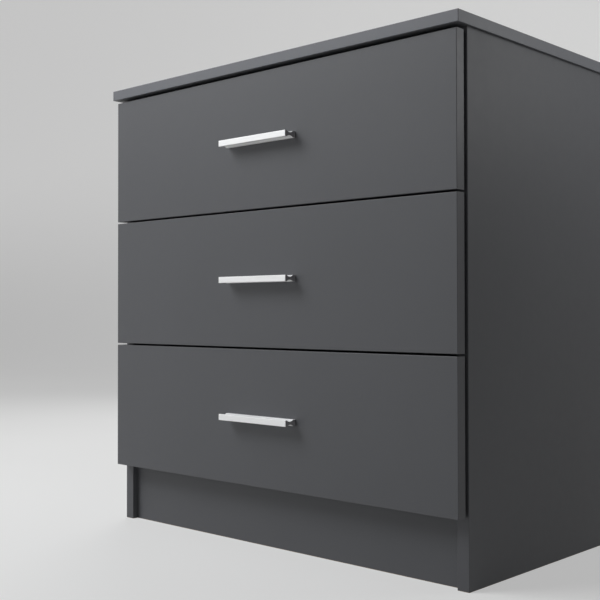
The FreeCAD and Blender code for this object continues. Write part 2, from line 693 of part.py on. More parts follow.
def riveted_axle(body, label, place, height, direction):
    """A roller's axle and its head, standing out of the strip along local X."""
    against = direction < 0
    sketch = new_sketch(body, label + "_axle_circle", "YZ")
    circles(sketch, "axle_radius", [(place, height)])
    extrude(body, "Pad", label + "_axle", sketch, "axle_reach", against)
    head = new_sketch(body, label + "_rivet_circle", "YZ", "%d * axle_reach" % direction)
    circles(head, "rivet_radius", [(place, height)])
    extrude(body, "Pad", label + "_rivet", head, "rivet_head", against)


def bend_edges(body, label, name, radius, corners):
    """Round the bends that run along the strip, given by their places in its section."""

    def at_a_bend(middle, run):
        hits = [near(middle.x, x) and near(middle.z, z) for x, z in corners]
        return near(abs(run.y), 1) and any(hits)

    return round_edges(body, "%s_%s" % (label, name), radius, at_a_bend)


def punch_slots(body, label, screws, up, against):
    """The adjusting slots of a strip, one behind each screw but the last."""
    sketch = new_sketch(body, label + "_slot_outlines", "YZ")
    slots(sketch, "slot_radius", "slot_length", [(place + " + slot_lag", up) for place in screws[:-1]])
    extrude(body, "Pocket", label + "_slots", sketch, "2 * gauge", against)


def cabinet_runner(place, level, side, sign):
    """A folded channel on the side panel, open towards the drawer, with its roller at the front."""
    label = "%s_cabinet_runner_%s" % (place, side)
    along = "carcass_front + runner_setback"
    body = new_body(label, "%d * inner_half" % sign, along, lifted(level, "channel_low"))
    inward = -sign
    against = inward < 0
    tip = "%d * cabinet_flange" % inward
    web = "%d * gauge" % inward
    section = new_sketch(body, label + "_section", "XZ")
    outline(section, (
        ("0", "0"), (tip, "0"), (tip, "gauge"), (web, "gauge"),
        (web, "channel_height - gauge"), (tip, "channel_height - gauge"), (tip, "channel_height"),
        ("0", "channel_height"),
    ))
    extrude(body, "Pad", label + "_channel", section, "cabinet_runner_length", True)
    gauge = read("gauge")
    high = read("channel_height")
    outer = ((0, 0), (0, high))
    inner = ((inward * gauge, gauge), (inward * gauge, high - gauge))
    bend_edges(body, label, "outer_bends", "gauge + bend_radius", outer)
    bend_edges(body, label, "inner_bends", "bend_radius", inner)
    entry = new_sketch(body, label + "_entry_outline", "XY", "channel_height")
    inside = "%d * (gauge + bend_radius)" % inward
    past = "%d * (cabinet_flange + gauge)" % inward
    rectangle(entry, inside, "-gauge", past, "entry_length")
    extrude(body, "Pocket", label + "_entry", entry, "gauge + channel_play / 2")
    stop = new_sketch(body, label + "_stop_outline", "XZ", "-cabinet_runner_length")
    rectangle(stop, "%d * gauge / 2" % inward, "gauge / 2", tip, "channel_height - gauge / 2")
    extrude(body, "Pad", label + "_stop", stop, "gauge")
    holes = [(screw_place, "runner_screw_height") for screw_place in RUNNER_SCREWS]
    drill(body, label + "_screw_holes", "YZ", "runner_screw_radius + fit_clearance", holes,
          "2 * gauge", not against)
    punch_slots(body, label, RUNNER_SCREWS, "runner_screw_height", not against)
    riveted_axle(body, label, "roller_inset", "front_roller_height", inward)


def drawer_runner(name, level, side, sign):
    """A folded strip under and along the box, with an outward flange and its roller at the back."""
    label = "%s_runner_%s" % (name, side)
    body = new_body(label, "%d * box_half" % sign, "front_back", lifted(level, "box_low"))
    web = "%d * gauge" % sign
    under = "%d * (box_board - gauge)" % -sign
    tip = "%d * drawer_flange" % sign
    flange_top = "drawer_flange_height + gauge"
    section = new_sketch(body, label + "_section", "XZ")
    outline(section, (
        (under, "-gauge"), (web, "-gauge"), (web, "drawer_flange_height"), (tip, "drawer_flange_height"),
        (tip, flange_top), ("0", flange_top), ("0", "0"), (under, "0"),
    ))
    extrude(body, "Pad", label + "_strip", section, "box_length", True)
    gauge = read("gauge")
    flange = read("drawer_flange_height")
    outer = ((sign * gauge, -gauge), (0, flange + gauge))
    inner = ((sign * gauge, flange),)
    bend_edges(body, label, "outer_bends", "gauge + bend_radius", outer)
    bend_edges(body, label, "inner_bend", "bend_radius", inner)
    holes = [(place, "box_screw_height") for place in BOX_SCREWS]
    drill(body, label + "_screw_holes", "YZ", "box_screw_hole", holes, "2 * gauge", sign > 0)
    punch_slots(body, label, BOX_SCREWS, "box_screw_height", sign > 0)
    riveted_axle(body, label, "drawer_roller_place", "drawer_roller_height", sign)


def roller(label, direction, across, along, up):
    """A nylon roller on its axle: local X is 0 on the face of the board behind the strip."""
    body = new_body(label, across, along, up)
    sketch = new_sketch(body, label + "_section", "XY")

    def corner(depth, radius):
        return "%d * (%s)" % (direction, depth), radius

    outline(sketch, (
        corner("roller_near", "roller_bore"), corner("roller_near", "roller_hub_radius"),
        corner("roller_near + roller_recess", "roller_hub_radius"),
        corner("roller_near + roller_recess", "roller_hollow_radius"),
        corner("roller_near", "roller_hollow_radius"),
        corner("roller_near", "roller_radius - roller_chamfer"),
        corner("roller_near + roller_chamfer", "roller_radius"),
        corner("roller_far - roller_chamfer", "roller_radius"),
        corner("roller_far", "roller_radius - roller_chamfer"), corner("roller_far", "roller_hollow_radius"),
        corner("roller_far - roller_recess", "roller_hollow_radius"),
        corner("roller_far - roller_recess", "roller_hub_radius"), corner("roller_far", "roller_hub_radius"),
        corner("roller_far", "roller_bore"),
    ))
    wheel = body.newObject("PartDesign::Revolution", label + "_wheel")
    wheel.Profile = sketch
    wheel.ReferenceAxis = (origin_part(body, "X_Axis"), [""])
    wheel.Angle = 360
    sketch.Visibility = False


def cabinet_roller(place, level, side, sign):
    label = "%s_cabinet_roller_%s" % (place, side)
    along = "carcass_front + runner_setback + roller_inset"
    up = lifted(level, "channel_low + front_roller_height")
    roller(label, -sign, "%d * inner_half" % sign, along, up)


def drawer_roller(name, level, side, sign):
    label = "%s_roller_%s" % (name, side)
    up = lifted(level, "box_low + drawer_roller_height")
    roller(label, sign, "%d * box_half" % sign, "front_back + drawer_roller_place", up)


# ---- fittings: groups of like solids ------------------------------------------------------------


def turned(points):
    """A solid turned about Z from a half-section given as radius and height."""
    corners = [Vector(radius, 0, height) for radius, height in points]
    wire = Part.makePolygon(corners + corners[:1])
    return Part.Face(wire).revolve(Vector(0, 0, 0), Vector(0, 0, 1), 360)


def stand(solid, at, along, towards=None):
    """A copy of a solid made along +Z, set at a point with its Z along a direction and X towards another."""
    if towards is None:
        turn = Rotation(Vector(0, 0, 1), along)
    else:
        turn = Rotation(towards, Vector(0, 0, 0), along, "ZXY")
    copy = solid.copy()
    copy.Placement = Placement(at, turn)
    return copy


def cam_bolt(distance):
    """A bolt with its thread below Z = 0 and its head on the cam's centre line."""
    radius = read("bolt_radius")
    thread = read("bolt_depth") - read("fit_clearance")
    neck = read("bolt_neck_radius")
    head = read("bolt_head_radius")
    head_low = distance - read("bolt_head_length") / 2
    head_high = distance + read("bolt_head_length") / 2
    neck_low = head_low - read("bolt_neck_length")
    return turned((
        (0, -thread), (radius, -thread), (radius, neck_low), (neck, neck_low), (neck, head_low),
        (head, head_low), (head, head_high), (0, head_high),
    ))


def cam_lock(depth, bolt_level):
    """A cam with its face at Z = 0, a driver slot in it, and the bolt's way in along +X."""
    radius = read("cam_radius") - read("fit_clearance")
    body = Part.makeCylinder(radius, depth - read("fit_clearance"), Vector(0, 0, 0), Vector(0, 0, -1))
    channel = read("bolt_bore") - read("fit_clearance")
    start = Vector(-channel, 0, -bolt_level)
    way_in = Part.makeCylinder(channel, radius + 2 * channel, start, Vector(1, 0, 0))
    wide = read("cam_slot")
    long = read("cam_slot_length")
    slot = Part.makeBox(long, wide, wide, Vector(-long / 2, -wide / 2, -wide))
    return body.cut(way_in).cut(slot)


def screw(radius, length, head_radius, head_height):
    """A pan-headed screw with the underside of its head at Z = 0 and its shank below."""
    crown = head_radius - head_height / 2
    return turned((
        (0, -length), (radius, -length + radius), (radius, 0), (head_radius, 0),
        (head_radius, head_height / 2), (crown, head_height), (0, head_height),
    ))


def add_group(label, solids):
    """One node of separate like solids, whose sizes and places come from the sheets."""
    group = doc.addObject("Part::Feature", label)
    group.Label = label
    group.Shape = Part.makeCompound(solids)
    group.Placement = Placement()
    nodes.append(group)


UP = Vector(0, 0, 1)
BACK = Vector(0, 1, 0)
RIGHT = Vector(1, 0, 0)


def carcass_joints():
    """Cam bolts and cam locks of the carcass: one of each at every joint, on both sides."""
    distance = read("cam_distance")
    front = read("carcass_front")
    inner = read("inner_half")
    bolt = cam_bolt(distance)
    side_lock = cam_lock(read("side_cam_depth"), read("side_thickness") / 2)
    bottom_lock = cam_lock(read("bottom_cam_depth"), read("bottom_thickness") / 2)
    plinth_lock = cam_lock(read("plinth_cam_depth"), read("plinth_thickness") / 2)
    rail_lock = cam_lock(read("rail_cam_depth"), read("rail_thickness") / 2)
    bolts = []
    locks = []
    for side, sign in SIDES:
        out = RIGHT * sign
        cam_x = sign * (inner - distance)
        for place in (read("joint_inset"), read("rear_joint")):
            y = front + place
            bolts.append(stand(bolt, Vector(sign * read("side_mid"), y, read("side_height")), -UP))
            locks.append(stand(side_lock, Vector(sign * inner, y, read("top_cam_height")), -out, UP))
            bolts.append(stand(bolt, Vector(sign * inner, y, read("bottom_mid")), -out))
            locks.append(stand(bottom_lock, Vector(cam_x, y, read("plinth_height")), -UP, out))
        plinth_up = read("plinth_bolt_height")
        plinth_rear = front + read("plinth_recess") + read("plinth_thickness")
        bolts.append(stand(bolt, Vector(sign * inner, front + read("plinth_mid"), plinth_up), -out))
        locks.append(stand(plinth_lock, Vector(cam_x, plinth_rear, plinth_up), BACK, out))
        rail_up = read("rail_bolt_height")
        bolts.append(stand(bolt, Vector(sign * inner, front + read("rail_mid"), rail_up), -out))
        locks.append(stand(rail_lock, Vector(cam_x, front + read("rail_front"), rail_up), -BACK, out))
    add_group("carcass_cam_bolts", bolts)
    add_group("carcass_cam_locks", locks)


def carcass_dowels():
    radius = read("dowel_radius")
    front = read("carcass_front")
    chamfer = read("dowel_chamfer")
    low = read("fit_clearance") - read("dowel_depth")
    high = low + read("dowel_length")
    dowel = turned((
        (0, low), (radius - chamfer, low), (radius, low + chamfer), (radius, high - chamfer),
        (radius - chamfer, high), (0, high),
    ))
    solids = []
    for side, sign in SIDES:
        out = RIGHT * sign
        inner = sign * read("inner_half")
        for place in TOP_DOWELS:
            at = Vector(sign * read("side_mid"), front + read(place), read("side_height"))
            solids.append(stand(dowel, at, -UP))
        for place, height in SIDE_DOWELS:
            solids.append(stand(dowel, Vector(inner, front + read(place), read(height)), -out))
    add_group("carcass_dowels", solids)


def spread(low, high, spacing):
    """Places from low to high, both included, at most a spacing apart."""
    count = max(1, math.ceil((high - low) / spacing))
    return [low + (high - low) * i / count for i in range(count + 1)]


def back_panel_nails():
    """Nails round the hardboard: into the side panels, the bottom panel and the rear rail."""
    radius = read("nail_radius")
    head = read("nail_head")
    face = read("carcass_rear") + read("back_thickness")
    nail = turned((
        (0, -read("nail_length")), (radius, -read("nail_length") + 2 * radius), (radius, 0),
        (read("nail_head_radius"), 0), (read("nail_head_radius"), head), (0, head),
    ))
    spacing = read("nail_spacing")
    low = read("bottom_mid")
    high = read("side_height") - read("rail_height") / 2
    edge = read("side_mid")
    places = [(sign * edge, z) for side, sign in SIDES for z in spread(low, high, spacing)]
    across = spread(-edge, edge, spacing)[1:-1]
    places += [(x, z) for x in across for z in (low, high)]
    add_group("back_panel_nails", [stand(nail, Vector(x, face, z), BACK) for x, z in places])


def cabinet_runner_screws():
    length = read("gauge") + read("runner_screw_depth") - read("fit_clearance")
    one = screw(read("runner_screw_radius"), length, read("runner_screw_head_radius"),
                read("runner_screw_head"))
    solids = []
    for level, name in enumerate(DRAWERS):
        z = read("channel_low") + read("runner_screw_height") + level * read("pitch")
        for side, sign in SIDES:
            x = sign * (read("inner_half") - read("gauge"))
            for place in RUNNER_SCREWS:
                y = read("carcass_front") + read("runner_setback") + read(place)
                solids.append(stand(one, Vector(x, y, z), RIGHT * -sign))
    add_group("cabinet_runner_screws", solids)


def handle_screws(name, level):
    """The two screws through a drawer front into its handle, with their heads inside the box."""
    length = read("front_thickness") + read("handle_screw_reach")
    one = screw(read("handle_screw_radius"), length, read("handle_screw_head_radius"),
                read("handle_screw_head"))
    up = read("front_low") + level * read("pitch") + read("handle_middle")
    half = read("handle_spacing") / 2
    add_group(name + "_handle_screws",
              [stand(one, Vector(sign * half, read("front_back"), up), BACK) for side, sign in SIDES])


def drawer_fixings(name, level):
    """One drawer's cam bolts and locks, and the screws of its back, its runners and its bottom."""
    distance = read("box_cam_distance")
    low = read("box_low") + level * read("pitch")
    front = read("front_back")
    board = read("box_board")
    radius = read("box_screw_radius")
    head = (read("box_screw_head_radius"), read("box_screw_head"))
    bolt = cam_bolt(distance)
    lock = cam_lock(read("box_cam_depth"), board / 2)
    back_screw = screw(radius, 3 * board - radius, *head)
    runner_screw = screw(radius, board - radius, *head)
    sheet = read("box_bottom_thickness")
    bottom_screw = screw(radius, sheet + read("bottom_screw_depth") - radius, *head)
    solids = []
    back_y = front + read("box_back_mid")
    for side, sign in SIDES:
        out = RIGHT * sign
        outer = sign * read("box_half")
        for height in BOX_JOINTS:
            z = low + read(height)
            solids.append(stand(bolt, Vector(sign * read("box_side_mid"), front, z), BACK))
            solids.append(stand(lock, Vector(outer, front + distance, z), out, -BACK))
            solids.append(stand(back_screw, Vector(outer, back_y, z), out))
        for place in BOX_SCREWS:
            at = Vector(outer + sign * read("gauge"), front + read(place), low + read("box_screw_height"))
            solids.append(stand(runner_screw, at, out))
    across = read("bottom_screw_across")
    under = low + read("groove_height") + read("groove_slack") / 2
    solids += [stand(bottom_screw, Vector(x, back_y, under), -UP) for x in (-across, 0, across)]
    add_group(name + "_fixings", solids)


# ---- the whole chest -----------------------------------------------------------------------------


def build():
    top_panel()
    for side, sign in SIDES:
        side_panel(side, sign)
    bottom_panel()
    upright_board("front_plinth", "plinth", "carcass_front + plinth_recess", "0", True)
    upright_board("rear_rail", "rail", "carcass_front + rail_front", "side_height - rail_height", False)
    back_panel()
    for level, place in enumerate(DRAWERS):
        name = place + "_drawer"
        drawer_front(name, level)
        handle(name, level)
        box_back(name, level)
        box_bottom(name, level)
        for side, sign in SIDES:
            box_side(name, level, side, sign)
            cabinet_runner(place, level, side, sign)
            drawer_runner(name, level, side, sign)
            cabinet_roller(place, level, side, sign)
            drawer_roller(name, level, side, sign)
        handle_screws(name, level)
        drawer_fixings(name, level)
    carcass_joints()
    carcass_dowels()
    back_panel_nails()
    cabinet_runner_screws()
    doc.recompute()


def check():
    """Stop if any object failed, any sub-part is empty or invalid, or a cut took nothing away."""
    for thing in doc.Objects:
        if "Invalid" in thing.State or "Error" in thing.State:
            raise RuntimeError("%s failed: %s" % (thing.Name, thing.State))
        if thing.TypeId in ("PartDesign::Pocket", "PartDesign::Pad") and thing.BaseFeature:
            change = thing.Shape.Volume - thing.BaseFeature.Shape.Volume
            wanted = -change if thing.TypeId.endswith("Pocket") else change
            if wanted < CLOSE:
                raise RuntimeError("%s changed nothing: %.3f" % (thing.Name, change))
    for node in nodes:
        if node.Shape.isNull() or not node.Shape.isValid():
            raise RuntimeError(node.Label + " has no valid shape")


def write():
    os.makedirs("parts", exist_ok=True)
    for node in nodes:
        solids = node.Shape.Solids
        shape = solids[0] if len(solids) == 1 else Part.makeCompound(solids)
        shape.exportStep("parts/%s.step" % node.Label)
    print("%d sub-parts written" % len(nodes))


build()
check()
write()
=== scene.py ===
import math
from collections import namedtuple

import bmesh
import bpy
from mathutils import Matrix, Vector


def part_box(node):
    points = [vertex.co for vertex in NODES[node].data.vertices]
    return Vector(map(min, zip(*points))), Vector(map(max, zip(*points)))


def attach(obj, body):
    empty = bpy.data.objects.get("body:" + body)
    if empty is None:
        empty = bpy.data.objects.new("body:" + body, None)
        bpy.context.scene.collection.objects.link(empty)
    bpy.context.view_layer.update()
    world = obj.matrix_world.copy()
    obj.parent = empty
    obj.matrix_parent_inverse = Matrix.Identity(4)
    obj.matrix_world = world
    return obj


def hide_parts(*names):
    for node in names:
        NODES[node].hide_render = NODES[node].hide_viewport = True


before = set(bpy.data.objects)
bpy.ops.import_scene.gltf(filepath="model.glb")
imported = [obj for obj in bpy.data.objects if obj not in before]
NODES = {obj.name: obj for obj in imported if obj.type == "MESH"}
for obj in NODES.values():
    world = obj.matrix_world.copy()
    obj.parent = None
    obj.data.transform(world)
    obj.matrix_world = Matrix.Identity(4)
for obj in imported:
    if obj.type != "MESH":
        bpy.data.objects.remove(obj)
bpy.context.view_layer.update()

MM = 0.001
FULL_TURN = 2 * math.pi
X, Y, Z = range(3)
DRAWERS = ("bottom", "middle", "top")
SIDES = ("left", "right")


# ---- building node trees ---------------------------------------------------------------------

# A mix node's first and second inputs, and its output, for each kind of value.
MIX_SOCKETS = {"RGBA": (6, 7, 2), "VECTOR": (4, 5, 1)}


def node(tree, kind, inputs=None, **settings):
    """A node with its settings, and its inputs given as plain values or as sockets to join."""
    made = tree.nodes.new(kind)
    for name, value in settings.items():
        setattr(made, name, value)
    for name, value in (inputs or {}).items():
        if isinstance(value, bpy.types.NodeSocket):
            tree.links.new(value, made.inputs[name])
        else:
            made.inputs[name].default_value = value
    return made


def maths(tree, operation, first, second=0.0, third=0.0):
    inputs = {0: first, 1: second, 2: third}
    return node(tree, "ShaderNodeMath", inputs, operation=operation).outputs[0]


def vectors(tree, operation, first, second=(0, 0, 0)):
    made = node(tree, "ShaderNodeVectorMath", {0: first, 1: second}, operation=operation)
    return made.outputs["Value" if operation == "DOT_PRODUCT" else "Vector"]


def parts_of(tree, vector):
    """The three numbers of a vector."""
    return node(tree, "ShaderNodeSeparateXYZ", {0: vector}).outputs


def fade(tree, value, start, end, low=0.0, high=1.0):
    """A smooth step of value from low at start to high at end."""
    inputs = {"Value": value, "From Min": start, "From Max": end, "To Min": low, "To Max": high}
    made = node(tree, "ShaderNodeMapRange", inputs, interpolation_type="SMOOTHSTEP")
    return made.outputs["Result"]


def mix(tree, kind, share, first, second):
    first_socket, second_socket, mixed = MIX_SOCKETS[kind]
    inputs = {0: share, first_socket: first, second_socket: second}
    return node(tree, "ShaderNodeMix", inputs, data_type=kind).outputs[mixed]


def between(tree, share, first, second):
    """The mix of two colours, each given as a socket or as its red, green and blue."""
    given = [colour if isinstance(colour, bpy.types.NodeSocket) else (*colour, 1)
             for colour in (first, second)]
    return mix(tree, "RGBA", share, *given)


def place(tree, stretch=(1, 1, 1)):
    """Where the shaded point is on the piece, in metres, with a pattern's stretch along each axis."""
    spot = node(tree, "ShaderNodeTexCoord").outputs["Object"]
    if stretch == (1, 1, 1):
        return spot
    return node(tree, "ShaderNodeMapping", {"Vector": spot, "Scale": stretch}).outputs["Vector"]


def facing(tree):
    """The way that the shaded face looks."""
    return node(tree, "ShaderNodeTexCoord").outputs["Normal"]


def noise(tree, where, scale, detail=2.0, roughness=0.5):
    inputs = {"Vector": where, "Scale": scale, "Detail": detail, "Roughness": roughness}
    return node(tree, "ShaderNodeTexNoise", inputs).outputs["Fac"]


def relief(tree, height, depth, strength):
    """A bump of a depth in metres."""
    inputs = {"Height": height, "Distance": depth, "Strength": strength}
    return node(tree, "ShaderNodeBump", inputs).outputs["Normal"]


def new_material(name, **constants):
    """A material with its shader, whose sockets that are the same all over get plain values."""
    material = bpy.data.materials.new(name)
    material.use_nodes = True
    tree = material.node_tree
    shader = tree.nodes["Principled BSDF"]
    for socket, value in constants.items():
        shader.inputs[socket.replace("_", " ")].default_value = value
    return material, tree, shader


def join(tree, shader, **sockets):
    """Join sockets to the shader's inputs of the same names."""
    for name, source in sockets.items():
        tree.links.new(source, shader.inputs[name.replace("_", " ")])


def dress(cad_node, material):
    """Put a material in a CAD node's slots."""
    slots = NODES[cad_node].data.materials
    slots.clear()
    slots.append(material)


# ---- faced boards ----------------------------------------------------------------------------

# The depth of a board's facing, its edge banding, the part of that banding short of its seam, half of
# the seam, and how far in from an edge a board is rubbed.
SKIN = 0.3 * MM
BANDING = 0.8 * MM
BANDING_SHOWN = 0.72 * MM
SEAM_HALF_WIDTH = 0.09 * MM
RUBBED_WIDTH = 2.4 * MM

ANTHRACITE = (0.094, 0.0965, 0.105)
ANTHRACITE_BAND = (0.088, 0.090, 0.099)
# The top's banding is painted paler and bluer than the fronts' banding, as a painted highlight of the
# light that its edges catch from above.
TOP_BAND_PAINTED_HIGHLIGHT = (0.146, 0.151, 0.168)
GREY_BOARD = (0.60, 0.60, 0.585)
GREY_BAND = (0.64, 0.64, 0.625)
FLAKE_BROWN = (0.36, 0.235, 0.13)
FLAKE_PALE = (0.60, 0.45, 0.28)
FLAKE_DARK = (0.20, 0.12, 0.06)

BOARD_ROUGH = 0.52
ROUGH_SPREAD = 0.015
BAND_SMOOTHER = 0.08
CORE_ROUGHER = 0.35

NOWHERE = (0, 0, 0)
BACKWARDS = (0, 1, 0)
DOWNWARDS = (0, 0, 1)


def board_places():
    """A group that says where on a board the shaded point lies.

    Edge is the distance to the nearest narrow side. Band is 1 on the edge banding, and Core is 1 where
    chipboard shows: in holes and grooves, and on the sides that the raw inputs name as not banded.
    """
    group = bpy.data.node_groups.new("board_places", "ShaderNodeTree")
    for name in ("Low", "High", "Across", "Raw low", "Raw high"):
        group.interface.new_socket(name, in_out="INPUT", socket_type="NodeSocketVector")
    for name in ("Edge", "Band", "Core"):
        group.interface.new_socket(name, in_out="OUTPUT", socket_type="NodeSocketFloat")
    given = node(group, "NodeGroupInput").outputs
    spot = place(group)
    from_low = vectors(group, "SUBTRACT", spot, given["Low"])
    from_high = vectors(group, "SUBTRACT", given["High"], spot)
    nearest = vectors(group, "MINIMUM", from_low, from_high)
    face = vectors(group, "DOT_PRODUCT", nearest, given["Across"])
    sideways = parts_of(group, vectors(group, "ADD", nearest, given["Across"]))
    edge = maths(group, "MINIMUM", sideways[X], maths(group, "MINIMUM", sideways[Y], sideways[Z]))
    band = maths(group, "LESS_THAN", edge, BANDING_SHOWN)
    raw = 0.0
    for distance, flags in ((from_low, given["Raw low"]), (from_high, given["Raw high"])):
        apart = parts_of(group, distance)
        wanted = parts_of(group, flags)
        for axis in (X, Y, Z):
            on_side = maths(group, "LESS_THAN", apart[axis], SKIN)
            raw = maths(group, "MAXIMUM", raw, maths(group, "MULTIPLY", on_side, wanted[axis]))
    deep = maths(group, "GREATER_THAN", maths(group, "MINIMUM", face, edge), SKIN)
    core = maths(group, "MAXIMUM", raw, deep)
    node(group, "NodeGroupOutput", {"Edge": edge, "Band": band, "Core": core})
    return group


BOARD_PLACES = board_places()


def chipboard(tree):
    """The colour and the relief of sawn chipboard: pressed flakes in several browns."""
    where = place(tree)
    inputs = {"Vector": where, "Scale": 900.0, "Randomness": 1.0}
    flakes = node(tree, "ShaderNodeTexVoronoi", inputs).outputs
    tone = node(tree, "ShaderNodeSeparateColor", {0: flakes["Color"]}).outputs[0]
    pale = between(tree, tone, FLAKE_BROWN, FLAKE_PALE)
    dark = fade(tree, noise(tree, where, scale=420.0), 0.56, 0.70)
    return between(tree, dark, pale, FLAKE_DARK), flakes["Distance"]


def facing_colour(tree, edge, face):
    """The colour of a board's melamine: faint clouds and specks, rubbed paler along the edges."""
    where = place(tree)
    paler = tuple(min(1.0, part * 1.22 + 0.004) for part in face)
    darker = tuple(part * 0.86 for part in face)
    cloud = fade(tree, noise(tree, where, scale=5.0, detail=3.0), 0.3, 0.7, high=0.2)
    speck = fade(tree, noise(tree, where, scale=760.0), 0.60, 0.72, high=0.10)
    patches = fade(tree, noise(tree, where, scale=130.0, detail=3.0), 0.38, 0.62)
    rubbed = maths(tree, "MULTIPLY", fade(tree, edge, 0.0, RUBBED_WIDTH, low=0.34, high=0.0), patches)
    seam = maths(tree, "COMPARE", edge, BANDING, SEAM_HALF_WIDTH)
    colour = between(tree, cloud, face, darker)
    colour = between(tree, speck, colour, paler)
    colour = between(tree, rubbed, colour, paler)
    return between(tree, maths(tree, "MULTIPLY", seam, 0.5), colour, darker)


def board_roughness(tree, band, core):
    patches = noise(tree, place(tree), scale=90.0, detail=3.0)
    rough = fade(tree, patches, 0.3, 0.7, BOARD_ROUGH - ROUGH_SPREAD, BOARD_ROUGH + ROUGH_SPREAD)
    rough = maths(tree, "SUBTRACT", rough, maths(tree, "MULTIPLY", band, BAND_SMOOTHER))
    return maths(tree, "ADD", rough, maths(tree, "MULTIPLY", core, CORE_ROUGHER))


def board_relief(tree, band, core, flakes):
    """Embossed melamine, flat banding and rough chipboard."""
    grain = noise(tree, place(tree), scale=1900.0, detail=1.0)
    emboss = maths(tree, "MULTIPLY", grain, maths(tree, "SUBTRACT", 1.0, band))
    on_skin = relief(tree, emboss, depth=0.05 * MM, strength=0.5)
    in_core = relief(tree, maths(tree, "MULTIPLY", flakes, core), depth=0.6 * MM, strength=0.6)
    return mix(tree, "VECTOR", core, on_skin, in_core)


def board_material(cad_node, face, banded, raw_low=NOWHERE, raw_high=NOWHERE):
    """Melamine-faced board: embossed faces, smoother edge banding and its seam, and chipboard inside."""
    low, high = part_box(cad_node)
    sizes = high - low
    thin = min((X, Y, Z), key=lambda axis: sizes[axis])
    across = tuple(1.0 if axis == thin else 0.0 for axis in (X, Y, Z))
    material, tree, shader = new_material("faced_" + cad_node, Specular_IOR_Level=0.42)
    inputs = {"Low": low, "High": high, "Across": across, "Raw low": raw_low, "Raw high": raw_high}
    spots = tree.nodes.new("ShaderNodeGroup")
    spots.node_tree = BOARD_PLACES
    for socket, value in inputs.items():
        spots.inputs[socket].default_value = value
    edge, band, core = (spots.outputs[name] for name in ("Edge", "Band", "Core"))
    wood, flakes = chipboard(tree)
    skin = between(tree, band, facing_colour(tree, edge, face), banded)
    join(tree, shader, Base_Color=between(tree, core, skin, wood),
         Roughness=board_roughness(tree, band, core), Normal=board_relief(tree, band, core, flakes))
    return material


def dress_boards():
    """Each board gets a material of its own, because its places are measured from its own corners."""
    carcass = {
        "top_panel": {},
        "left_side_panel": {"raw_high": BACKWARDS, "raw_low": DOWNWARDS},
        "right_side_panel": {"raw_high": BACKWARDS, "raw_low": DOWNWARDS},
        "bottom_panel": {"raw_high": BACKWARDS},
        "front_plinth": {"raw_low": DOWNWARDS},
        "rear_rail": {"raw_low": DOWNWARDS},
    }
    for board, raw in carcass.items():
        # The top panel's banding colour carries a painted highlight.
        band = TOP_BAND_PAINTED_HIGHLIGHT if board == "top_panel" else ANTHRACITE_BAND
        dress(board, board_material(board, ANTHRACITE, band, **raw))
    for level in DRAWERS:
        drawer = level + "_drawer"
        front = drawer + "_front"
        dress(front, board_material(front, ANTHRACITE, ANTHRACITE_BAND))
        for part, raw_high in (("side_left", BACKWARDS), ("side_right", BACKWARDS), ("back", NOWHERE)):
            board = "%s_%s" % (drawer, part)
            dress(board, board_material(board, GREY_BOARD, GREY_BAND, DOWNWARDS, raw_high))


# ---- hardboard -------------------------------------------------------------------------------

BACK_PRINT = (0.115, 0.118, 0.122)
DRAWER_PRINT = (0.56, 0.56, 0.545)
PRESSED_BROWN = (0.165, 0.088, 0.040)
PRESSED_PALE = (0.300, 0.180, 0.095)
PRESSED_DARK = (0.115, 0.062, 0.030)
FORWARDS = (0, -1, 0)
UPWARDS = (0, 0, 1)


def hardboard_material(name, printed, printed_side):
    """Hardboard with a printed face on one side and a pressed brown one on the other."""
    material, tree, shader = new_material(name, Specular_IOR_Level=0.3)
    where = place(tree)
    side = vectors(tree, "DOT_PRODUCT", facing(tree), printed_side)
    is_printed = maths(tree, "GREATER_THAN", side, 0.5)
    fibres = noise(tree, place(tree, (1.0, 3.0, 1.0)), scale=520.0, detail=3.0, roughness=0.65)
    cloud = noise(tree, where, scale=9.0, detail=4.0, roughness=0.6)
    brown = between(tree, fade(tree, fibres, 0.3, 0.7), PRESSED_BROWN, PRESSED_PALE)
    brown = between(tree, fade(tree, cloud, 0.35, 0.75, high=0.35), brown, PRESSED_DARK)
    pale = tuple(part * 1.12 for part in printed)
    print_tone = between(tree, fade(tree, fibres, 0.35, 0.7), printed, pale)
    screen = node(tree, "ShaderNodeTexChecker", {"Vector": where, "Scale": 900.0}).outputs["Fac"]
    pressed = maths(tree, "ADD", fibres, maths(tree, "MULTIPLY", screen, 0.35))
    height = maths(tree, "MULTIPLY", maths(tree, "SUBTRACT", 1.0, is_printed), pressed)
    height = maths(tree, "ADD", height, maths(tree, "MULTIPLY", fibres, 0.15))
    join(tree, shader, Base_Color=between(tree, is_printed, brown, print_tone),
         Roughness=fade(tree, is_printed, 0.0, 1.0, low=0.78, high=0.46),
         Normal=relief(tree, height, depth=0.12 * MM, strength=0.6))
    return material


# ---- metal, nylon and wood -------------------------------------------------------------------

ANODISED = (0.90, 0.905, 0.91)
ANODISED_PALE = (0.97, 0.97, 0.975)
ANODISED_CLOUD = (0.86, 0.865, 0.88)
# The sawn ends' two colours are painted shade that darkens the bar's ends, and cut marks run between
# them.
END_PAINTED_SHADE_DARK = (0.24, 0.235, 0.25)
END_PAINTED_SHADE_PALE = (0.34, 0.335, 0.35)
POWDER = (0.70, 0.70, 0.68)
POWDER_PALE = (0.77, 0.77, 0.75)
POWDER_RUBBED = (0.45, 0.45, 0.44)
NYLON = (0.72, 0.72, 0.69)
NYLON_PALE = (0.80, 0.80, 0.77)
NYLON_SCUFFED = (0.50, 0.50, 0.48)
BRIGHT_ZINC = ((0.62, 0.63, 0.64), (0.50, 0.51, 0.53))
YELLOW_ZINC = ((0.62, 0.57, 0.42), (0.50, 0.47, 0.38))
BEECH = (0.52, 0.35, 0.19)
BEECH_PALE = (0.66, 0.48, 0.29)
BEECH_FLECK = (0.32, 0.19, 0.09)


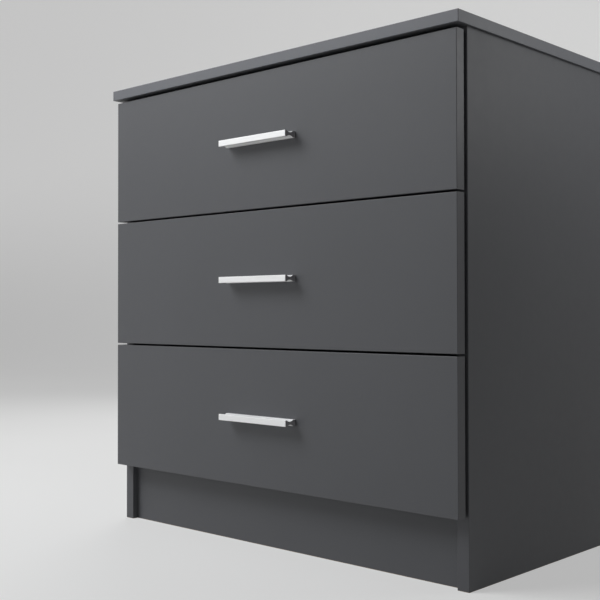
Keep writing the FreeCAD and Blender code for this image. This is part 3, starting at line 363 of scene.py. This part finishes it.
def satin_aluminium():
    """Drawn aluminium, brushed along the bar and satin anodised. Its sawn ends are rougher, and their
    colour is painted dark as shade.
    """
    material, tree, shader = new_material("satin_aluminium", Metallic=0.38, Anisotropic=0.2)
    streaks = noise(tree, place(tree, (1.0, 60.0, 60.0)), scale=55.0, detail=4.0, roughness=0.6)
    fine = noise(tree, place(tree, (1.0, 90.0, 90.0)), scale=160.0)
    cloud = noise(tree, place(tree), scale=24.0, detail=3.0)
    colour = between(tree, fade(tree, streaks, 0.3, 0.7), ANODISED, ANODISED_PALE)
    colour = between(tree, fade(tree, cloud, 0.45, 0.8, high=0.25), colour, ANODISED_CLOUD)
    # Faces across the bar are the sawn ends: rougher, and painted dark as shade.
    along = vectors(tree, "DOT_PRODUCT", vectors(tree, "ABSOLUTE", facing(tree)), (1, 0, 0))
    sawn = maths(tree, "GREATER_THAN", along, 0.9)
    cut_marks = noise(tree, place(tree, (1.0, 1.0, 30.0)), scale=240.0)
    end_marks_and_shade = between(tree, fade(tree, cut_marks, 0.3, 0.7), END_PAINTED_SHADE_DARK, END_PAINTED_SHADE_PALE)
    rough = fade(tree, streaks, 0.25, 0.75, low=0.44, high=0.56)
    join(tree, shader, Base_Color=between(tree, sawn, colour, end_marks_and_shade),
         Roughness=maths(tree, "ADD", rough, maths(tree, "MULTIPLY", sawn, 0.15)),
         Normal=relief(tree, fine, depth=0.02 * MM, strength=0.35))
    return material


def powder_coat():
    """White epoxy powder on folded steel, with its orange peel and grey rubbed tracks."""
    material, tree, shader = new_material("white_powder_coat", Specular_IOR_Level=0.5, Coat_Weight=0.15)
    peel = noise(tree, place(tree), scale=620.0)
    cloud = noise(tree, place(tree), scale=14.0)
    rubbed = noise(tree, place(tree, (1.0, 0.05, 1.0)), scale=210.0, detail=3.0)
    colour = between(tree, fade(tree, cloud, 0.3, 0.7), POWDER, POWDER_PALE)
    colour = between(tree, fade(tree, rubbed, 0.60, 0.74, high=0.35), colour, POWDER_RUBBED)
    join(tree, shader, Base_Color=colour, Roughness=fade(tree, peel, 0.3, 0.7, low=0.30, high=0.42),
         Normal=relief(tree, peel, depth=0.05 * MM, strength=0.5))
    return material


def nylon():
    """Moulded white nylon with turning marks and a tread that has picked up a little grey."""
    material, tree, shader = new_material("white_nylon", Subsurface_Weight=0.08, IOR=1.53,
                                          Subsurface_Radius=(2 * MM, 2 * MM, 2 * MM))
    marks = noise(tree, place(tree, (40.0, 1.0, 1.0)), scale=60.0)
    scuffs = noise(tree, place(tree), scale=700.0, detail=3.0)
    colour = between(tree, fade(tree, marks, 0.35, 0.7), NYLON, NYLON_PALE)
    colour = between(tree, fade(tree, scuffs, 0.58, 0.75, high=0.4), colour, NYLON_SCUFFED)
    join(tree, shader, Base_Color=colour, Roughness=fade(tree, scuffs, 0.3, 0.7, low=0.36, high=0.52),
         Normal=relief(tree, marks, depth=0.03 * MM, strength=0.5))
    return material


def zinc(name, pale, dark):
    """Zinc plating with its patchy passivation and fine scratches."""
    material, tree, shader = new_material(name, Metallic=1.0)
    patches = noise(tree, place(tree), scale=260.0, detail=3.0)
    scratches = noise(tree, place(tree, (1.0, 14.0, 3.0)), scale=900.0)
    join(tree, shader, Base_Color=between(tree, fade(tree, patches, 0.35, 0.7), pale, dark),
         Roughness=fade(tree, patches, 0.3, 0.7, low=0.26, high=0.42),
         Normal=relief(tree, scratches, depth=0.02 * MM, strength=0.4))
    return material


def beech():
    """Fluted beech dowel wood, with its short dark flecks."""
    material, tree, shader = new_material("beech", Specular_IOR_Level=0.3)
    flecks = noise(tree, place(tree, (1.0, 1.0, 0.2)), scale=900.0, detail=3.0)
    grain = noise(tree, place(tree, (1.0, 1.0, 0.05)), scale=500.0, detail=3.0)
    colour = between(tree, fade(tree, grain, 0.3, 0.7), BEECH, BEECH_PALE)
    colour = between(tree, fade(tree, flecks, 0.60, 0.72, high=0.6), colour, BEECH_FLECK)
    join(tree, shader, Base_Color=colour, Roughness=fade(tree, grain, 0.3, 0.7, low=0.5, high=0.65),
         Normal=relief(tree, flecks, depth=0.06 * MM, strength=0.5))
    return material


dress_boards()
dress("back_panel", hardboard_material("back_hardboard", BACK_PRINT, FORWARDS))
drawer_sheet = hardboard_material("drawer_hardboard", DRAWER_PRINT, UPWARDS)
aluminium = satin_aluminium()
white_steel = powder_coat()
white_nylon = nylon()
bright_zinc = zinc("bright_zinc", *BRIGHT_ZINC)
yellow_zinc = zinc("yellow_zinc", *YELLOW_ZINC)
dowel_beech = beech()
dress("carcass_cam_bolts", bright_zinc)
dress("carcass_cam_locks", bright_zinc)
dress("carcass_dowels", dowel_beech)
dress("back_panel_nails", bright_zinc)
dress("cabinet_runner_screws", yellow_zinc)
for level in DRAWERS:
    drawer = level + "_drawer"
    dress(drawer + "_handle", aluminium)
    dress(drawer + "_handle_screws", bright_zinc)
    dress(drawer + "_fixings", yellow_zinc)
    dress(drawer + "_bottom", drawer_sheet)
    for side in SIDES:
        dress("%s_runner_%s" % (drawer, side), white_steel)
        dress("%s_cabinet_runner_%s" % (level, side), white_steel)
        dress("%s_roller_%s" % (drawer, side), white_nylon)
        dress("%s_cabinet_roller_%s" % (level, side), white_nylon)


# ---- fasteners -------------------------------------------------------------------------------

WELD = 0.001 * MM
SIDES_ROUND = 24
CROSS_ARM = 0.50
CROSS_HALF_WIDTH = 0.13
CROSS_FLOOR = 0.62
CROSS_FLOOR_HEIGHT = 0.25
CROSS_PIT_HEIGHT = 0.05
THREAD_ROOT = 0.74
SMOOTH_ANGLE = math.radians(40)

# A round outline's radii and heights, from the top down, on a head and a shank of radius and length 1.
PAN_HEAD = ((0.62, 1.0), (0.80, 0.92), (0.93, 0.68), (1.0, 0.32), (1.0, 0.0))
NAIL_HEAD = ((0.5, 0.96), (0.86, 0.7), (1.0, 0.3), (0.94, 0.0))
NAIL_SHANK = ((1.0, 0.0), (1.0, -0.93))

# The widest head of a screw among a drawer's fixings, and the shortest shank of its back's screws.
WIDEST_SCREW_HEAD = 5 * MM
LONG_SHANK = 20 * MM

Fastener = namedtuple("Fastener", "axis seat facing head_radius head_height shank_radius shank_length")


def neighbours(count):
    """Each place in a ring of points, with the next one round."""
    return zip(range(count), [*range(1, count), 0])


def ring(mesh, headed, radius, height, part):
    """A circle of points of a unit fastener's head or shank."""
    turns = [FULL_TURN * step / SIDES_ROUND for step in range(SIDES_ROUND)]
    made = [mesh.verts.new((radius * math.cos(turn), radius * math.sin(turn), height)) for turn in turns]
    for point in made:
        point[headed] = part
    return made


def wall(mesh, upper, lower):
    """Faces between two outlines with as many points each."""
    for here, there in neighbours(len(upper)):
        mesh.faces.new((upper[here], lower[here], lower[there], upper[there]))


def cap(mesh, around, tip, upwards):
    """Faces between an outline and a point."""
    for here, there in neighbours(len(around)):
        corners = (around[here], around[there], tip)
        mesh.faces.new(corners if upwards else tuple(reversed(corners)))


def cross_outline(mesh, headed, share, height):
    """The twelve corners of a cross, anticlockwise."""
    arm = CROSS_ARM * share
    half = CROSS_HALF_WIDTH * share
    corners = []
    for turn in range(4):
        for x, y in ((arm, -half), (arm, half), (half, half)):
            for quarter in range(turn):
                x, y = -y, x
            corners.append(mesh.verts.new((x, y, height)))
    for corner in corners:
        corner[headed] = 1.0
    return corners


def unit_fastener(name, head, shank, crossed=True):
    """A fastener whose head, above Z = 0, and shank, below it, each have radius and length 1.

    A point's headed value is 1 in the head and 0 in the shank, so that the node tree can give each its
    own size. A crossed head has a cross recess.
    """
    mesh = bmesh.new()
    headed = mesh.verts.layers.float.new("headed")
    circles = [ring(mesh, headed, radius, height, 1.0) for radius, height in head]
    circles += [ring(mesh, headed, radius, height, 0.0) for radius, height in shank]
    for upper, lower in zip(circles, circles[1:]):
        wall(mesh, upper, lower)
    tip = mesh.verts.new((0, 0, -1))
    cap(mesh, circles[-1], tip, False)
    if crossed:
        rim = cross_outline(mesh, headed, 1.0, 1.0)
        floor = cross_outline(mesh, headed, CROSS_FLOOR, CROSS_FLOOR_HEIGHT)
        pit = mesh.verts.new((0, 0, CROSS_PIT_HEIGHT))
        pit[headed] = 1.0
        wall(mesh, floor, rim)
        cap(mesh, floor, pit, True)
        edges = [edge for edge in mesh.edges if edge.is_boundary]
        bmesh.ops.triangle_fill(mesh, edges=edges, use_beauty=True, normal=(0, 0, 1))
    else:
        middle = mesh.verts.new((0, 0, 1))
        middle[headed] = 1.0
        cap(mesh, circles[0], middle, True)
    shape = bpy.data.meshes.new(name)
    mesh.to_mesh(shape)
    mesh.free()
    return bpy.data.objects.new(name, shape)


def threaded(neck, turns, start, end):
    """The circles of a shank: its neck, then a thread's roots and crests from start to end."""
    step = (end - start) / turns
    circles = [(neck, 0.0)]
    for turn in range(turns):
        circles.append((THREAD_ROOT, -(start + step * turn)))
        circles.append((1.0, -(start + step * (turn + 0.5))))
    return [*circles, (THREAD_ROOT, -end)]


def fastener_tree():
    """One fastener on each point, along the point's facing and turned by chance, at the sizes given."""
    tree = bpy.data.node_groups.new("set_fasteners", "GeometryNodeTree")
    tree.interface.new_socket("Geometry", in_out="INPUT", socket_type="NodeSocketGeometry")
    tree.interface.new_socket("Shape", in_out="INPUT", socket_type="NodeSocketObject")
    for name in ("Head radius", "Head height", "Shank radius", "Shank length", "Turn"):
        tree.interface.new_socket(name, in_out="INPUT", socket_type="NodeSocketFloat")
    tree.interface.new_socket("Seed", in_out="INPUT", socket_type="NodeSocketInt")
    tree.interface.new_socket("Material", in_out="INPUT", socket_type="NodeSocketMaterial")
    tree.interface.new_socket("Geometry", in_out="OUTPUT", socket_type="NodeSocketGeometry")
    given = node(tree, "NodeGroupInput").outputs

    shape = node(tree, "GeometryNodeObjectInfo", {"Object": given["Shape"]}).outputs["Geometry"]
    head = node(tree, "GeometryNodeInputNamedAttribute", {"Name": "headed"}, data_type="FLOAT")
    headed = head.outputs[0]
    wider = maths(tree, "SUBTRACT", given["Head radius"], given["Shank radius"])
    across = maths(tree, "MULTIPLY_ADD", wider, headed, given["Shank radius"])
    higher = maths(tree, "SUBTRACT", given["Head height"], given["Shank length"])
    along = maths(tree, "MULTIPLY_ADD", higher, headed, given["Shank length"])
    size = node(tree, "ShaderNodeCombineXYZ", {0: across, 1: across, 2: along}).outputs[0]
    spot = vectors(tree, "MULTIPLY", node(tree, "GeometryNodeInputPosition").outputs[0], size)
    sized = node(tree, "GeometryNodeSetPosition", {"Geometry": shape, "Position": spot}).outputs[0]

    looks = node(tree, "GeometryNodeInputNamedAttribute", {"Name": "facing"}, data_type="FLOAT_VECTOR")
    upright = node(tree, "FunctionNodeAlignRotationToVector", {"Vector": looks.outputs[0]}, axis="Z")
    chance = {2: 0.0, 3: given["Turn"], "Seed": given["Seed"]}
    by_chance = node(tree, "FunctionNodeRandomValue", chance, data_type="FLOAT").outputs[1]
    twist = node(tree, "FunctionNodeAxisAngleToRotation", {"Axis": (0, 0, 1), "Angle": by_chance})
    turned = node(tree, "FunctionNodeRotateRotation", {0: upright.outputs[0], 1: twist.outputs[0]},
                  rotation_space="LOCAL")

    on_points = {"Points": given["Geometry"], "Instance": sized, "Rotation": turned.outputs[0]}
    placed = node(tree, "GeometryNodeInstanceOnPoints", on_points).outputs[0]
    real = node(tree, "GeometryNodeRealizeInstances", {"Geometry": placed}).outputs[0]
    shaded = node(tree, "GeometryNodeSetMaterial", {"Geometry": real, "Material": given["Material"]})
    node(tree, "NodeGroupOutput", {"Geometry": shaded.outputs[0]})
    return tree


def solids(cad_node):
    """The separate solids of a CAD node, as a welded copy of its mesh and each solid's points."""
    mesh = bmesh.new()
    mesh.from_mesh(NODES[cad_node].data)
    bmesh.ops.remove_doubles(mesh, verts=mesh.verts, dist=WELD)
    found = []
    seen = set()
    for first in mesh.verts:
        if first in seen:
            continue
        seen.add(first)
        solid = [first]
        for point in solid:
            for edge in point.link_edges:
                other = edge.other_vert(point)
                if other not in seen:
                    seen.add(other)
                    solid.append(other)
        found.append(solid)
    return mesh, found


def measured(solid):
    """A round fastener's axis, its head's seat, the way that its head faces, and its four sizes."""
    points = [point.co for point in solid]
    low = Vector([min(point[axis] for point in points) for axis in (X, Y, Z)])
    high = Vector([max(point[axis] for point in points) for axis in (X, Y, Z)])
    middle = (low + high) / 2
    spans = high - low
    axis = min((X, Y, Z), key=lambda one: abs(spans[one - 1] - spans[one - 2]))
    lengthwise = Vector([1.0 if one == axis else 0.0 for one in (X, Y, Z)])

    def away(point):
        return (point - middle - (point - middle).dot(lengthwise) * lengthwise).length

    radius = max(away(point) for point in points)
    wide = [point[axis] for point in points if away(point) > 0.95 * radius]
    sign = 1.0 if sum(wide) / len(wide) > middle[axis] else -1.0
    seat = min(wide) if sign > 0 else max(wide)
    top, end = (high[axis], low[axis]) if sign > 0 else (low[axis], high[axis])
    below = (away(point) for point in points if (seat - point[axis]) * sign > 10 * WELD)
    shank = max(below, default=0.0)
    at = middle.copy()
    at[axis] = seat
    return Fastener(axis, at, lengthwise * sign, radius, abs(top - seat), shank, abs(seat - end))


def new_piece(name, mesh):
    piece = bpy.data.objects.new(name, mesh)
    bpy.context.scene.collection.objects.link(piece)
    return piece


def finish_fasteners(piece, body, cad_node):
    """Shade a piece's curved sides as smooth, and say what it rides on and stands for."""
    mesh = piece.data
    mesh.polygons.foreach_set("use_smooth", [True] * len(mesh.polygons))
    mesh.set_sharp_from_angle(angle=SMOOTH_ANGLE)
    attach(piece, body)
    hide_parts(cad_node)


def set_fasteners(name, shape, found, material, seed, body, cad_node):
    """The fasteners of one kind on a body, as one piece, where the CAD node has them."""
    mesh = bpy.data.meshes.new(name)
    mesh.from_pydata([one.seat for one in found], [], [])
    ways = mesh.attributes.new("facing", "FLOAT_VECTOR", "POINT")
    ways.data.foreach_set("vector", [part for one in found for part in one.facing])
    piece = new_piece(name, mesh)
    modifier = piece.modifiers.new("fasteners", "NODES")
    modifier.node_group = FASTENER_TREE
    first = found[0]
    values = {"Shape": shape, "Head radius": first.head_radius, "Head height": first.head_height,
              "Shank radius": first.shank_radius, "Shank length": first.shank_length,
              "Turn": FULL_TURN, "Seed": seed, "Material": material}
    for socket in FASTENER_TREE.interface.items_tree:
        if socket.in_out == "INPUT" and socket.name in values:
            modifier[socket.identifier] = values[socket.name]
    depsgraph = bpy.context.evaluated_depsgraph_get()
    made = bpy.data.meshes.new_from_object(piece.evaluated_get(depsgraph), depsgraph=depsgraph)
    piece.modifiers.remove(modifier)
    piece.data = made
    bpy.data.meshes.remove(mesh)
    finish_fasteners(piece, body, cad_node)


def set_all(name, shape, material, seed, body, cad_node):
    """Fasteners for all the solids of a CAD node of one kind."""
    mesh, parts = solids(cad_node)
    found = [measured(solid) for solid in parts]
    mesh.free()
    set_fasteners(name, shape, found, material, seed, body, cad_node)


def set_drawer_fixings(drawer, first_seed):
    """A drawer's screws, by kind, and a welded copy of the cam fittings that its node also holds."""
    fixings = drawer + "_fixings"
    mesh, parts = solids(fixings)
    kinds = {"back_screws": [], "runner_screws": [], "bottom_screws": []}
    screwed = []
    for solid in parts:
        one = measured(solid)
        if one.axis == Y or one.head_radius > WIDEST_SCREW_HEAD:
            continue
        screwed += solid
        if one.axis == Z:
            kinds["bottom_screws"].append(one)
        else:
            kinds["back_screws" if one.shank_length > LONG_SHANK else "runner_screws"].append(one)
    for seed, (kind, found) in enumerate(kinds.items(), first_seed):
        shape = long_screw if kind == "back_screws" else chipboard_screw
        set_fasteners("%s_%s" % (drawer, kind), shape, found, yellow_zinc, seed, drawer, fixings)
    bmesh.ops.delete(mesh, geom=screwed, context="VERTS")
    name = drawer + "_cam_fittings"
    cams = bpy.data.meshes.new(name)
    mesh.to_mesh(cams)
    mesh.free()
    cams.materials.append(bright_zinc)
    finish_fasteners(new_piece(name, cams), drawer, fixings)


FASTENER_TREE = fastener_tree()
chipboard_screw = unit_fastener("chipboard_screw", PAN_HEAD,
                                threaded(neck=0.9, turns=8, start=0.10, end=0.88))
long_screw = unit_fastener("long_screw", PAN_HEAD,
                           threaded(neck=0.9, turns=16, start=0.30, end=0.96))
machine_screw = unit_fastener("machine_screw", PAN_HEAD,
                              threaded(neck=1.0, turns=20, start=0.35, end=0.98))
round_nail = unit_fastener("round_nail", NAIL_HEAD, NAIL_SHANK, crossed=False)

set_all("cabinet_screws", chipboard_screw, yellow_zinc, seed=11, body="carcass",
        cad_node="cabinet_runner_screws")
set_all("back_nails", round_nail, bright_zinc, seed=12, body="carcass", cad_node="back_panel_nails")
for number, level in enumerate(DRAWERS):
    drawer = level + "_drawer"
    set_all(drawer + "_handle_bolts", machine_screw, bright_zinc, seed=20 + number, body=drawer,
            cad_node=drawer + "_handle_screws")
    set_drawer_fixings(drawer, first_seed=30 + 3 * number)
for shape in (chipboard_screw, long_screw, machine_screw, round_nail):
    bpy.data.objects.remove(shape)


# ---- the room, the lights and the camera -----------------------------------------------------

WHITE = (1.0, 1.0, 1.0, 1.0)
FLOOR_SEEN = (0.46, 0.46, 0.455)
FLOOR_LIT = (0.74, 0.73, 0.70)
FLOOR_GLOW = 0.41
WALL_GLOW = 0.52
WALL_BRIGHT_AT = 1.6
ROOM_LIGHT = 0.055
ROOM_SEEN = 0.70
COOL = (0.97, 0.985, 1.0)
NEUTRAL = (1.0, 1.0, 1.0)

# Where each lamp is, what it looks at, its width and height, its watts and its colour.
LAMPS = {
    "key": ((-1.5, -1.9, 2.5), (0.0, -0.2, 0.42), (1.7, 1.7), 49.0, COOL),
    "near_key": ((-1.1, -1.2, 1.5), (-0.1, -0.2, 0.5), (1.1, 1.1), 6.6, COOL),
    "low_left": ((-1.2, -1.6, 0.5), (-0.2, -0.2, 0.1), (0.8, 0.5), 1.3, NEUTRAL),
    "low_strip": ((-0.1, -1.0, 0.12), (0.0, -0.2, 0.04), (1.2, 0.1), 0.17, NEUTRAL),
    "right_side": ((0.70, 0.25, 0.80), (0.35, 0.15, 0.66), (0.3, 0.3), 0.68, COOL),
    "left_rear": ((-1.5, 1.3, 1.6), (0.0, 0.2, 0.4), (1.2, 1.2), 12.0, NEUTRAL),
}

LENS = 61.10
SENSOR = 36.0
SHIFT_UP = -0.0086
CAMERA_AT = (1.0713, -1.2626, 0.3555)
CAMERA_TURN = (90.900, 0.087, 42.950)


def sweep(name, half_width, front, back, height, bend, steps=24):
    """A floor that curves up into a wall, all one sheet."""
    profile = [(front, 0.0)]
    for step in range(steps + 1):
        turn = math.pi / 2 * step / steps
        profile.append((back - bend + bend * math.sin(turn), bend - bend * math.cos(turn)))
    profile.append((back, height))
    mesh = bpy.data.meshes.new(name)
    points = [(side * half_width, along, up) for along, up in profile for side in (-1, 1)]
    faces = [(2 * i, 2 * i + 1, 2 * i + 3, 2 * i + 2) for i in range(len(profile) - 1)]
    mesh.from_pydata(points, [], faces)
    mesh.polygons.foreach_set("use_smooth", [True] * len(faces))
    return new_piece(name, mesh)


def seen_directly(tree):
    """1 for what the camera, a reflection or glass sees, and 0 for what lights the object."""
    rays = node(tree, "ShaderNodeLightPath").outputs
    mirrored = maths(tree, "MAXIMUM", rays["Is Glossy Ray"], rays["Is Transmission Ray"])
    return maths(tree, "MAXIMUM", rays["Is Camera Ray"], mirrored)


def plain_pale():
    """A pale sheet that the camera and reflections see a little brighter than it lights the object."""
    material, tree, shader = new_material("pale_floor", Specular_IOR_Level=0.1, Roughness=0.8,
                                          Emission_Color=WHITE)
    looked_at = seen_directly(tree)
    where = place(tree)
    cloud = noise(tree, where, scale=1.1)
    clean = tuple(part * 0.98 for part in FLOOR_SEEN)
    tone = between(tree, fade(tree, cloud, 0.3, 0.7), FLOOR_SEEN, clean)
    glow = fade(tree, parts_of(tree, where)[Z], 0.0, WALL_BRIGHT_AT, FLOOR_GLOW, WALL_GLOW)
    join(tree, shader, Base_Color=between(tree, looked_at, FLOOR_LIT, tone),
         Emission_Strength=maths(tree, "MULTIPLY", looked_at, glow))
    return material


def pale_room():
    """A world that the camera and reflections see as pale, and that lights the object only a little."""
    world = bpy.data.worlds.new("room")
    world.use_nodes = True
    tree = world.node_tree
    background = tree.nodes["Background"]
    background.inputs["Color"].default_value = WHITE
    strength = maths(tree, "MULTIPLY_ADD", seen_directly(tree), ROOM_SEEN - ROOM_LIGHT, ROOM_LIGHT)
    tree.links.new(strength, background.inputs["Strength"])
    bpy.context.scene.world = world


def soft_light(name, at, towards, size, power, colour):
    data = bpy.data.lights.new(name, "AREA")
    data.shape = "RECTANGLE"
    data.size, data.size_y = size
    data.energy = power
    data.color = colour
    lamp = bpy.data.objects.new(name, data)
    lamp.location = at
    lamp.visible_camera = False
    lamp.rotation_euler = (Vector(towards) - Vector(at)).to_track_quat("-Z", "Y").to_euler()
    bpy.context.scene.collection.objects.link(lamp)


def set_camera():
    data = bpy.data.cameras.new("camera")
    data.sensor_width = SENSOR
    data.lens = LENS
    data.shift_y = SHIFT_UP
    data.clip_start = 20 * MM
    camera = bpy.data.objects.new("camera", data)
    camera.location = CAMERA_AT
    camera.rotation_euler = [math.radians(turn) for turn in CAMERA_TURN]
    bpy.context.scene.collection.objects.link(camera)
    bpy.context.scene.camera = camera


floor = sweep("pale_floor", half_width=16.0, front=-6.0, back=3.4, height=5.0, bend=1.6)
floor.data.materials.append(plain_pale())
for name, lamp in LAMPS.items():
    soft_light(name, *lamp)
pale_room()
set_camera()
bpy.context.scene.view_settings.view_transform = "Standard"
